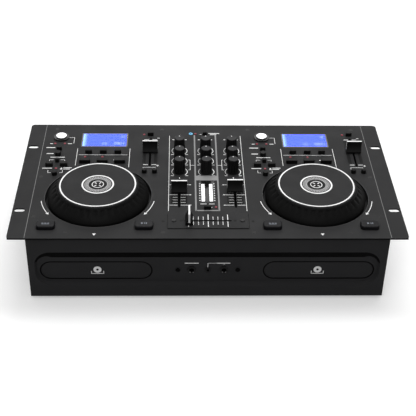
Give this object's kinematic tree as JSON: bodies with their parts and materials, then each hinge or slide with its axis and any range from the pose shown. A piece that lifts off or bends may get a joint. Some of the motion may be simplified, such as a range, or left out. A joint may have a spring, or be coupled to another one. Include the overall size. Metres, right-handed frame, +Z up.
{
  "type": "dual disc player and mixer console",
  "caption": "Rack or table console with two disc trays below two jog wheels, displays and pitch faders, and a two-channel mixer between them.",
  "frame": {"origin": "on the surface that the feet stand on, below the middle of the top plate", "axes": "+X to the right, +Y to the rear, +Z up"},
  "size_m": [0.4826, 0.262, 0.1208],
  "materials": {
    "plate_metal": "satin black powder coat",
    "body_metal": "black powder coat",
    "front_plastic": "satin black",
    "door_plastic": "satin black",
    "foot_rubber": "matt",
    "screw_black": "black oxide",
    "window_clear": "clear acrylic",
    "display_blue": "backlit blue",
    "light_red": "red lens",
    "window_black": "smoked black",
    "jack_black": "black",
    "socket_metal": "nickel plate",
    "black_plastic": "moulded",
    "fader_metal": "zinc plate",
    "board_green": "solder mask",
    "jog_rubber": "soft touch",
    "jog_top": "fine matt",
    "bright_cap": "bright metallised cap",
    "turntable_plastic": "white moulded",
    "pad_rubber": "soft touch",
    "button_plastic": "moulded",
    "cap_plastic": "moulded with a white stripe",
    "knob_plastic": "fluted"
  },
  "bodies": {
    "console": {"top_plate": "plate_metal", "chassis": "body_metal", "front_panel": "front_plastic", "rear_panel": "body_metal", "crossfader_plate": "plate_metal", "feet": "foot_rubber", "panel_screws": "screw_black", "display_windows": "window_clear", "display_modules": "display_blue", "indicator_lights": "light_red", "level_meter": "window_black", "front_jacks": "jack_black", "rca_sockets": "socket_metal", "mains_fittings": "black_plastic", "jog_bearings": "black_plastic", "control_bodies": "fader_metal", "control_boards": "board_green", "main_board": "board_green", "power_supply": "board_green", "left_disc_mechanism": "black_plastic", "right_disc_mechanism": "black_plastic", "clamp_bridges": "black_plastic"},
    "left_jog": {"left_jog_wheel": "jog_rubber", "left_jog_disc": "jog_top"},
    "left_track": {"left_track_knob": "bright_cap"},
    "left_tray_slide": {"left_tray": "black_plastic", "left_tray_door": "door_plastic"},
    "left_spindle_body": {"left_spindle": "turntable_plastic"},
    "left_sled": {"left_pickup_sled": "black_plastic"},
    "left_cue": {"left_cue_button": "pad_rubber"},
    "left_play": {"left_play_button": "pad_rubber"},
    "left_deck_bank": {"left_deck_buttons": "button_plastic"},
    "left_pitch_bank": {"left_pitch_buttons": "button_plastic"},
    "left_pitch": {"left_pitch_fader": "cap_plastic"},
    "left_channel": {"left_channel_fader": "cap_plastic"},
    "right_jog": {"right_jog_wheel": "jog_rubber", "right_jog_disc": "jog_top"},
    "right_track": {"right_track_knob": "bright_cap"},
    "right_tray_slide": {"right_tray": "black_plastic", "right_tray_door": "door_plastic"},
    "right_spindle_body": {"right_spindle": "turntable_plastic"},
    "right_sled": {"right_pickup_sled": "black_plastic"},
    "right_cue": {"right_cue_button": "pad_rubber"},
    "right_play": {"right_play_button": "pad_rubber"},
    "right_deck_bank": {"right_deck_buttons": "button_plastic"},
    "right_pitch_bank": {"right_pitch_buttons": "button_plastic"},
    "right_pitch": {"right_pitch_fader": "cap_plastic"},
    "right_channel": {"right_channel_fader": "cap_plastic"},
    "crossfade": {"crossfader": "cap_plastic"},
    "mixer_bank": {"mixer_buttons": "button_plastic"},
    "left_gain": {"left_gain_knob": "knob_plastic"},
    "left_treble": {"left_treble_knob": "knob_plastic"},
    "left_bass": {"left_bass_knob": "knob_plastic"},
    "middle_gain": {"middle_gain_knob": "knob_plastic"},
    "middle_treble": {"middle_treble_knob": "knob_plastic"},
    "middle_bass": {"middle_bass_knob": "knob_plastic"},
    "right_gain": {"right_gain_knob": "knob_plastic"},
    "right_treble": {"right_treble_knob": "knob_plastic"},
    "right_bass": {"right_bass_knob": "knob_plastic"},
    "rocker": {"power_switch": "black_plastic"}
  },
  "joints": [
    {"name": "left_jog_spin", "type": "hinge", "parent": "console", "child": "left_jog", "pos_m": [-0.1374, -0.0415, 0.1], "axis": [0, 0, 1], "continuous": true},
    {"name": "left_track_turn", "type": "hinge", "parent": "console", "child": "left_track", "pos_m": [-0.1968, 0.096, 0.1], "axis": [0, 0, 1], "continuous": true},
    {"name": "left_tray_travel", "type": "slide", "parent": "console", "child": "left_tray_slide", "axis": [0, -1, 0], "range_m": [0, 0.13]},
    {"name": "left_spindle_turn", "type": "hinge", "parent": "console", "child": "left_spindle_body", "pos_m": [-0.1374, -0.053, 0.04], "axis": [0, 0, 1], "continuous": true},
    {"name": "left_sled_travel", "type": "slide", "parent": "console", "child": "left_sled", "axis": [0, 1, 0], "range_m": [0, 0.034]},
    {"name": "left_cue_press", "type": "slide", "parent": "console", "child": "left_cue", "axis": [0, 0, -1], "range_m": [0, 0.0008], "stiffness_N_per_m": 400, "springref_m": -0.0005},
    {"name": "left_play_press", "type": "slide", "parent": "console", "child": "left_play", "axis": [0, 0, -1], "range_m": [0, 0.0008], "stiffness_N_per_m": 400, "springref_m": -0.0005},
    {"name": "left_deck_press", "type": "slide", "parent": "console", "child": "left_deck_bank", "axis": [0, 0, -1], "range_m": [0, 0.0008], "stiffness_N_per_m": 400, "springref_m": -0.0005},
    {"name": "left_pitch_press", "type": "slide", "parent": "console", "child": "left_pitch_bank", "axis": [0, 0, -1], "range_m": [0, 0.0008], "stiffness_N_per_m": 400, "springref_m": -0.0005},
    {"name": "left_pitch_travel", "type": "slide", "parent": "console", "child": "left_pitch", "axis": [0, 1, 0], "range_m": [-0.03, 0.03]},
    {"name": "left_channel_travel", "type": "slide", "parent": "console", "child": "left_channel", "axis": [0, 1, 0], "range_m": [-0.0287, 0.0163]},
    {"name": "right_jog_spin", "type": "hinge", "parent": "console", "child": "right_jog", "pos_m": [0.1374, -0.0415, 0.1], "axis": [0, 0, 1], "continuous": true},
    {"name": "right_track_turn", "type": "hinge", "parent": "console", "child": "right_track", "pos_m": [0.078, 0.096, 0.1], "axis": [0, 0, 1], "continuous": true},
    {"name": "right_tray_travel", "type": "slide", "parent": "console", "child": "right_tray_slide", "axis": [0, -1, 0], "range_m": [0, 0.13]},
    {"name": "right_spindle_turn", "type": "hinge", "parent": "console", "child": "right_spindle_body", "pos_m": [0.1374, -0.053, 0.04], "axis": [0, 0, 1], "continuous": true},
    {"name": "right_sled_travel", "type": "slide", "parent": "console", "child": "right_sled", "axis": [0, 1, 0], "range_m": [0, 0.034]},
    {"name": "right_cue_press", "type": "slide", "parent": "console", "child": "right_cue", "axis": [0, 0, -1], "range_m": [0, 0.0008], "stiffness_N_per_m": 400, "springref_m": -0.0005},
    {"name": "right_play_press", "type": "slide", "parent": "console", "child": "right_play", "axis": [0, 0, -1], "range_m": [0, 0.0008], "stiffness_N_per_m": 400, "springref_m": -0.0005},
    {"name": "right_deck_press", "type": "slide", "parent": "console", "child": "right_deck_bank", "axis": [0, 0, -1], "range_m": [0, 0.0008], "stiffness_N_per_m": 400, "springref_m": -0.0005},
    {"name": "right_pitch_press", "type": "slide", "parent": "console", "child": "right_pitch_bank", "axis": [0, 0, -1], "range_m": [0, 0.0008], "stiffness_N_per_m": 400, "springref_m": -0.0005},
    {"name": "right_pitch_travel", "type": "slide", "parent": "console", "child": "right_pitch", "axis": [0, 1, 0], "range_m": [-0.03, 0.03]},
    {"name": "right_channel_travel", "type": "slide", "parent": "console", "child": "right_channel", "axis": [0, 1, 0], "range_m": [-0.031, 0.014]},
    {"name": "crossfader_travel", "type": "slide", "parent": "console", "child": "crossfade", "axis": [1, 0, 0], "range_m": [-0.0008, 0.0472]},
    {"name": "mixer_press", "type": "slide", "parent": "console", "child": "mixer_bank", "axis": [0, 0, -1], "range_m": [0, 0.0008], "stiffness_N_per_m": 400, "springref_m": -0.0005},
    {"name": "left_gain_turn", "type": "hinge", "parent": "console", "child": "left_gain", "pos_m": [-0.035, 0.0634, 0.1], "axis": [0, 0, 1], "range_deg": [-145, 145]},
    {"name": "left_treble_turn", "type": "hinge", "parent": "console", "child": "left_treble", "pos_m": [-0.035, 0.038, 0.1], "axis": [0, 0, 1], "range_deg": [-145, 145]},
    {"name": "left_bass_turn", "type": "hinge", "parent": "console", "child": "left_bass", "pos_m": [-0.035, 0.0126, 0.1], "axis": [0, 0, 1], "range_deg": [-145, 145]},
    {"name": "middle_gain_turn", "type": "hinge", "parent": "console", "child": "middle_gain", "pos_m": [0, 0.0634, 0.1], "axis": [0, 0, 1], "range_deg": [-145, 145]},
    {"name": "middle_treble_turn", "type": "hinge", "parent": "console", "child": "middle_treble", "pos_m": [0, 0.038, 0.1], "axis": [0, 0, 1], "range_deg": [-145, 145]},
    {"name": "middle_bass_turn", "type": "hinge", "parent": "console", "child": "middle_bass", "pos_m": [0, 0.0126, 0.1], "axis": [0, 0, 1], "range_deg": [-145, 145]},
    {"name": "right_gain_turn", "type": "hinge", "parent": "console", "child": "right_gain", "pos_m": [0.035, 0.0634, 0.1], "axis": [0, 0, 1], "range_deg": [-145, 145]},
    {"name": "right_treble_turn", "type": "hinge", "parent": "console", "child": "right_treble", "pos_m": [0.035, 0.038, 0.1], "axis": [0, 0, 1], "range_deg": [-145, 145]},
    {"name": "right_bass_turn", "type": "hinge", "parent": "console", "child": "right_bass", "pos_m": [0.035, 0.0126, 0.1], "axis": [0, 0, 1], "range_deg": [-145, 145]},
    {"name": "power_rocker", "type": "hinge", "parent": "console", "child": "rocker", "pos_m": [-0.132, 0.123, 0.047], "axis": [1, 0, 0], "range_deg": [-16, 0]}
  ]
}
